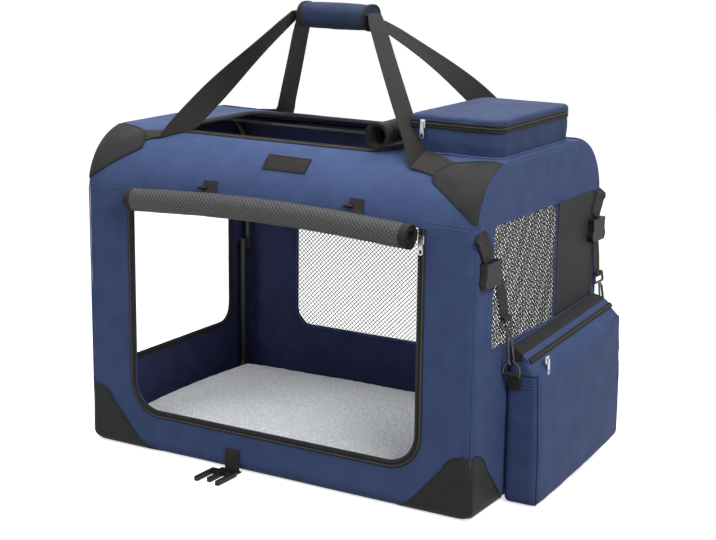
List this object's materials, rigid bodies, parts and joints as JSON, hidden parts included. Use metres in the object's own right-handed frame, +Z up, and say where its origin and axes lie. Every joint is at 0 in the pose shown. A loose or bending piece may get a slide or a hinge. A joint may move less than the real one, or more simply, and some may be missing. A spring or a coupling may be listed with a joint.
{
  "type": "folding dog crate",
  "caption": "Soft-sided folding pet crate: cloth walls over a knee-hinged tube frame, roll-up mesh doors, mesh windows, roof storage box, hung side bag and padded carry handle.",
  "frame": {"origin": "middle of the flat underside of the floor panel", "axes": "+X towards the end that carries the storage bag, -Y out of the front door, +Z up"},
  "size_m": [0.7577, 0.5213, 0.721],
  "materials": {
    "navy_cloth": "woven polyester",
    "charcoal_cloth": "coarse woven polyester",
    "black_webbing": "ribbed webbing",
    "black_mesh": "coated mesh",
    "pale_fleece": "fleece pile",
    "bright_steel": "plated",
    "black_steel": "powder coat",
    "black_plastic": "moulded satin"
  },
  "bodies": {
    "base": {"floor_panel": "charcoal_cloth", "floor_pad": "pale_fleece", "front_panel": "navy_cloth", "front_binding": "black_webbing", "back_panel": "navy_cloth", "left_panel": "navy_cloth", "right_panel": "navy_cloth", "right_mesh": "black_mesh", "back_mesh": "black_mesh", "foot_patch_front_left": "charcoal_cloth", "foot_patch_front_right": "charcoal_cloth", "foot_patch_back_left": "charcoal_cloth", "foot_patch_back_right": "charcoal_cloth", "base_rail_front": "black_steel", "base_rail_back": "black_steel", "front_strap": "black_webbing", "hanger_front": "black_webbing", "hanger_back": "black_webbing"},
    "left_lower": {"left_lower_frame": "black_steel"},
    "left_upper": {"left_hoop": "black_steel"},
    "right_lower": {"right_lower_frame": "black_steel"},
    "right_upper": {"right_hoop": "black_steel"},
    "roof": {"top_cap": "navy_cloth", "top_binding": "black_webbing", "top_patch_front_left": "charcoal_cloth", "top_patch_front_right": "charcoal_cloth", "top_patch_back_left": "charcoal_cloth", "top_patch_back_right": "charcoal_cloth", "top_rail_front": "black_steel", "top_rail_back": "black_steel", "bare_patch": "charcoal_cloth", "front_door_roll": "black_mesh", "roll_tie_left": "black_webbing", "roll_tie_right": "black_webbing", "door_zip_slider": "bright_steel", "top_door_roll": "black_mesh", "storage_tub": "navy_cloth", "box_zip_slider": "bright_steel", "handle_strap_front_left": "black_webbing", "handle_strap_front_right": "black_webbing", "handle_strap_back_left": "black_webbing", "handle_strap_back_right": "black_webbing", "buckle_tab_front": "black_webbing", "buckle_tab_back": "black_webbing"},
    "grip": {"handle_grip": "navy_cloth"},
    "box_lid": {"storage_lid": "navy_cloth"},
    "door_pull": {"door_zip_pull": "bright_steel"},
    "box_pull": {"box_zip_pull": "bright_steel"},
    "buckle_front": {"female_buckle_front": "black_plastic"},
    "buckle_back": {"female_buckle_back": "black_plastic"},
    "prongs": {"male_buckle": "black_plastic"},
    "bag_hooks": {"bag_hook_front": "bright_steel", "bag_hook_back": "bright_steel"},
    "bag": {"bag_body": "navy_cloth", "bag_ring_front": "bright_steel", "bag_ring_back": "bright_steel", "bag_zip_slider": "bright_steel"},
    "bag_cover": {"bag_lid": "navy_cloth"},
    "bag_pull": {"bag_zip_pull": "bright_steel"}
  },
  "joints": [
    {"name": "fold", "type": "hinge", "parent": "base", "child": "left_lower", "pos_m": [-0.332, 0, 0.0143], "axis": [0, 1, 0], "range_deg": [0, 69.5], "deforming": ["front_panel", "back_panel", "left_panel", "right_panel", "right_mesh", "back_mesh", "front_binding", "foot_patch_front_left", "foot_patch_front_right", "foot_patch_back_left", "foot_patch_back_right", "hanger_front", "hanger_back", "top_cap", "top_patch_front_left", "top_patch_front_right", "top_patch_back_left", "top_patch_back_right"]},
    {"name": "left_knee", "type": "hinge", "parent": "left_lower", "child": "left_upper", "pos_m": [-0.332, 0, 0.2605], "axis": [0, 1, 0], "range_deg": [-139, 0]},
    {"name": "roof_hinge", "type": "hinge", "parent": "left_upper", "child": "roof", "pos_m": [-0.332, 0, 0.5067], "axis": [0, 1, 0], "range_deg": [0, 69.5]},
    {"name": "right_foot", "type": "hinge", "parent": "base", "child": "right_lower", "pos_m": [0.332, 0, 0.0143], "axis": [0, 1, 0], "range_deg": [-69.5, 0]},
    {"name": "right_knee", "type": "hinge", "parent": "right_lower", "child": "right_upper", "pos_m": [0.332, 0, 0.2605], "axis": [0, 1, 0], "range_deg": [0, 139]},
    {"name": "handle_drop", "type": "slide", "parent": "roof", "child": "grip", "axis": [0, 0, -1], "range_m": [0, 0.14], "deforming": ["handle_strap_front_left", "handle_strap_front_right", "handle_strap_back_left", "handle_strap_back_right"]},
    {"name": "box_lid_hinge", "type": "hinge", "parent": "roof", "child": "box_lid", "pos_m": [0.186, 0, 0.5626], "axis": [0, -1, 0], "range_deg": [0, 80]},
    {"name": "door_pull_swing", "type": "hinge", "parent": "roof", "child": "door_pull", "pos_m": [0.264, -0.2258, 0.4142], "axis": [-1, 0, 0], "range_deg": [0, 75]},
    {"name": "box_pull_swing", "type": "hinge", "parent": "roof", "child": "box_pull", "pos_m": [0.21, -0.1303, 0.5645], "axis": [-1, 0, 0], "range_deg": [0, 75]},
    {"name": "front_buckle_swing", "type": "hinge", "parent": "roof", "child": "buckle_front", "pos_m": [0.3526, -0.188, 0.3857], "axis": [0, -1, 0], "range_deg": [0, 90]},
    {"name": "back_buckle_swing", "type": "hinge", "parent": "roof", "child": "buckle_back", "pos_m": [0.3526, 0.192, 0.3857], "axis": [0, -1, 0], "range_deg": [0, 90]},
    {"name": "strap_lift", "type": "hinge", "parent": "base", "child": "prongs", "pos_m": [-0.068, -0.2226, 0.0032], "axis": [-1, 0, 0], "range_deg": [0, 60]},
    {"name": "bag_off", "type": "slide", "parent": "base", "child": "bag_hooks", "axis": [1, 0, 0], "range_m": [0, 0.08]},
    {"name": "bag_swing", "type": "hinge", "parent": "bag_hooks", "child": "bag", "pos_m": [0.3666, 0, 0.226], "axis": [0, -1, 0], "range_deg": [0, 15]},
    {"name": "bag_lid_hinge", "type": "hinge", "parent": "bag", "child": "bag_cover", "pos_m": [0.3518, 0, 0.238], "axis": [0, -1, 0], "range_deg": [0, 80]},
    {"name": "bag_pull_swing", "type": "hinge", "parent": "bag", "child": "bag_pull", "pos_m": [0.4043, -0.085, 0.2262], "axis": [0, -1, 0], "range_deg": [0, 75]}
  ],
  "couplings": [
    {"joint": "left_knee", "follows": "fold", "ratio": -2},
    {"joint": "roof_hinge", "follows": "fold", "ratio": 1},
    {"joint": "right_foot", "follows": "fold", "ratio": -1},
    {"joint": "right_knee", "follows": "fold", "ratio": 2},
    {"joint": "bag_off", "follows": "fold", "m_per_rad": 0.0659}
  ]
}
